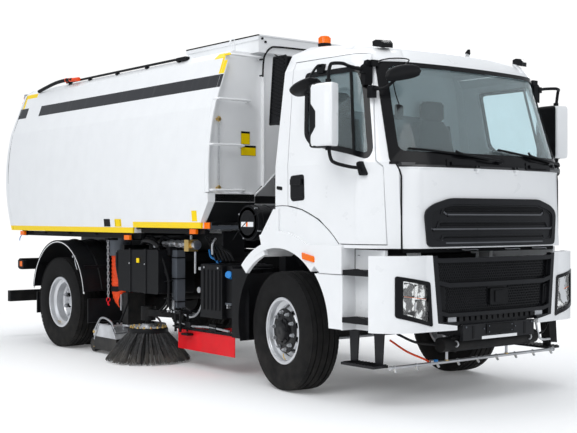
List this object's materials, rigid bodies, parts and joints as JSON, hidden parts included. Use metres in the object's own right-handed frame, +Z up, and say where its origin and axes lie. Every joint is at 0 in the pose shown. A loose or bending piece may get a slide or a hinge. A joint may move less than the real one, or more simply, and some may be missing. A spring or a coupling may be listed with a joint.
{
  "type": "street sweeper truck",
  "caption": "Cab-over truck with a tipping vacuum hopper, a side brush, a suction nozzle, a tilting cab, opening doors and steered front wheels.",
  "frame": {"origin": "on the ground under the middle of the whole truck", "axes": "+X to the truck's left, -Y towards its front, +Z up"},
  "size_m": [3.06, 7.2878, 3.3498],
  "materials": {
    "white_paint": "gloss",
    "frame_grey": "satin",
    "iron": "matte",
    "tyre": "matte",
    "wheel_silver": "satin",
    "steel": "satin",
    "black_plastic": "matte",
    "lamp_glass": "gloss",
    "tank_grey": "satin",
    "zinc_grey": "satin",
    "red_rubber": "matte",
    "bristle": "matte",
    "hose_red": "matte",
    "window": "gloss",
    "interior": "matte",
    "chrome": "polished"
  },
  "bodies": {
    "chassis": {"chassis_frame": "frame_grey", "engine": "iron", "axles": "iron", "bumper": "white_paint", "bumper_grille": "black_plastic", "headlamps": "lamp_glass", "spray_bar": "steel", "mudguards": "black_plastic", "fuel_tank": "tank_grey", "side_boxes": "black_plastic", "rear_bar": "frame_grey", "brush_post": "zinc_grey", "flap": "red_rubber"},
    "steering_left": {"knuckle_left": "iron"},
    "steering_right": {"knuckle_right": "iron"},
    "track_rod": {"tie_rod": "steel"},
    "wheel_front_left": {"tyre_front_left": "tyre", "rim_front_left": "wheel_silver"},
    "wheel_front_right": {"tyre_front_right": "tyre", "rim_front_right": "wheel_silver"},
    "wheels_rear_left": {"tyres_rear_left": "tyre", "rims_rear_left": "wheel_silver"},
    "wheels_rear_right": {"tyres_rear_right": "tyre", "rims_rear_right": "wheel_silver"},
    "cab": {"cab_shell": "white_paint", "windscreen": "window", "cab_interior": "interior", "snorkel": "black_plastic", "roof_fittings": "black_plastic"},
    "front_lid": {"front_panel": "white_paint", "upper_grille": "black_plastic"},
    "left_door": {"door_left": "white_paint", "door_glass_left": "window", "mirrors_left": "white_paint"},
    "right_door": {"door_right": "white_paint", "door_glass_right": "window", "mirrors_right": "white_paint"},
    "hopper": {"hopper_shell": "white_paint"},
    "rear_door": {"tailgate": "white_paint"},
    "ram_barrels": {"tip_barrels": "frame_grey"},
    "ram_rods": {"tip_rods": "chrome"},
    "swing_arm": {"brush_arm": "zinc_grey"},
    "brush": {"side_brush": "bristle"},
    "pickup": {"nozzle": "steel", "suction_hose": "hose_red"}
  },
  "joints": [
    {"name": "steer_left", "type": "hinge", "parent": "chassis", "child": "steering_left", "pos_m": [0.85, -2.14, 0.535], "axis": [0, 0, 1], "range_deg": [-22, 38]},
    {"name": "steer_right", "type": "hinge", "parent": "chassis", "child": "steering_right", "pos_m": [-0.85, -2.14, 0.535], "axis": [0, 0, 1], "range_deg": [-22, 38]},
    {"name": "track_rod_pin", "type": "hinge", "parent": "steering_left", "child": "track_rod", "pos_m": [0.88131, -1.91719, 0.45], "axis": [0, 0, 1], "range_deg": [-38, 22]},
    {"name": "spin_front_left", "type": "hinge", "parent": "steering_left", "child": "wheel_front_left", "pos_m": [1.02082, -2.16401, 0.535], "axis": [0.9903, -0.1392, 0], "continuous": true},
    {"name": "spin_front_right", "type": "hinge", "parent": "steering_right", "child": "wheel_front_right", "pos_m": [-1.02082, -2.11599, 0.535], "axis": [0.9903, -0.1392, 0], "continuous": true},
    {"name": "spin_rear_left", "type": "hinge", "parent": "chassis", "child": "wheels_rear_left", "pos_m": [0.9225, 2.113, 0.535], "axis": [1, 0, 0], "continuous": true},
    {"name": "spin_rear_right", "type": "hinge", "parent": "chassis", "child": "wheels_rear_right", "pos_m": [-0.9225, 2.113, 0.535], "axis": [1, 0, 0], "continuous": true},
    {"name": "cab_tilt", "type": "hinge", "parent": "chassis", "child": "cab", "pos_m": [0, -3.47, 0.76], "axis": [1, 0, 0], "range_deg": [0, 55]},
    {"name": "front_lid_hinge", "type": "hinge", "parent": "cab", "child": "front_lid", "pos_m": [0, -3.605, 1.962], "axis": [-1, 0, 0], "range_deg": [0, 80]},
    {"name": "door_left_hinge", "type": "hinge", "parent": "cab", "child": "left_door", "pos_m": [1.15, -3.42, 1.9], "axis": [0, 0, -1], "range_deg": [0, 68]},
    {"name": "door_right_hinge", "type": "hinge", "parent": "cab", "child": "right_door", "pos_m": [-1.15, -3.42, 1.9], "axis": [0, 0, 1], "range_deg": [0, 68]},
    {"name": "hopper_tip", "type": "hinge", "parent": "chassis", "child": "hopper", "pos_m": [0, 3.16, 1.1], "axis": [-1, 0, 0], "range_deg": [0, 50]},
    {"name": "tailgate_hinge", "type": "hinge", "parent": "hopper", "child": "rear_door", "pos_m": [0, 3.46, 3.215], "axis": [1, 0, 0], "range_deg": [0, 80]},
    {"name": "ram_pivot", "type": "hinge", "parent": "chassis", "child": "ram_barrels", "pos_m": [0, 2.56, 0.9], "axis": [-1, 0, 0], "range_deg": [0, 60]},
    {"name": "ram_stroke", "type": "slide", "parent": "ram_barrels", "child": "ram_rods", "axis": [0, -0.9285, 0.3714], "range_m": [0, 0.52]},
    {"name": "brush_swing", "type": "hinge", "parent": "chassis", "child": "swing_arm", "pos_m": [-0.95, -0.08, 0.53], "axis": [0, 0, 1], "range_deg": [-20, 20]},
    {"name": "brush_spin", "type": "hinge", "parent": "swing_arm", "child": "brush", "pos_m": [-1.04, 0.38, 0.3], "axis": [0, 0, 1], "continuous": true},
    {"name": "pickup_lift", "type": "slide", "parent": "chassis", "child": "pickup", "axis": [0, 0, 1], "range_m": [0, 0.08]}
  ],
  "couplings": [
    {"joint": "steer_right", "follows": "steer_left", "ratio": 1},
    {"joint": "track_rod_pin", "follows": "steer_left", "ratio": -1},
    {"joint": "ram_pivot", "follows": "hopper_tip", "ratio": 1.162},
    {"joint": "ram_stroke", "follows": "hopper_tip", "m_per_rad": 0.574}
  ]
}
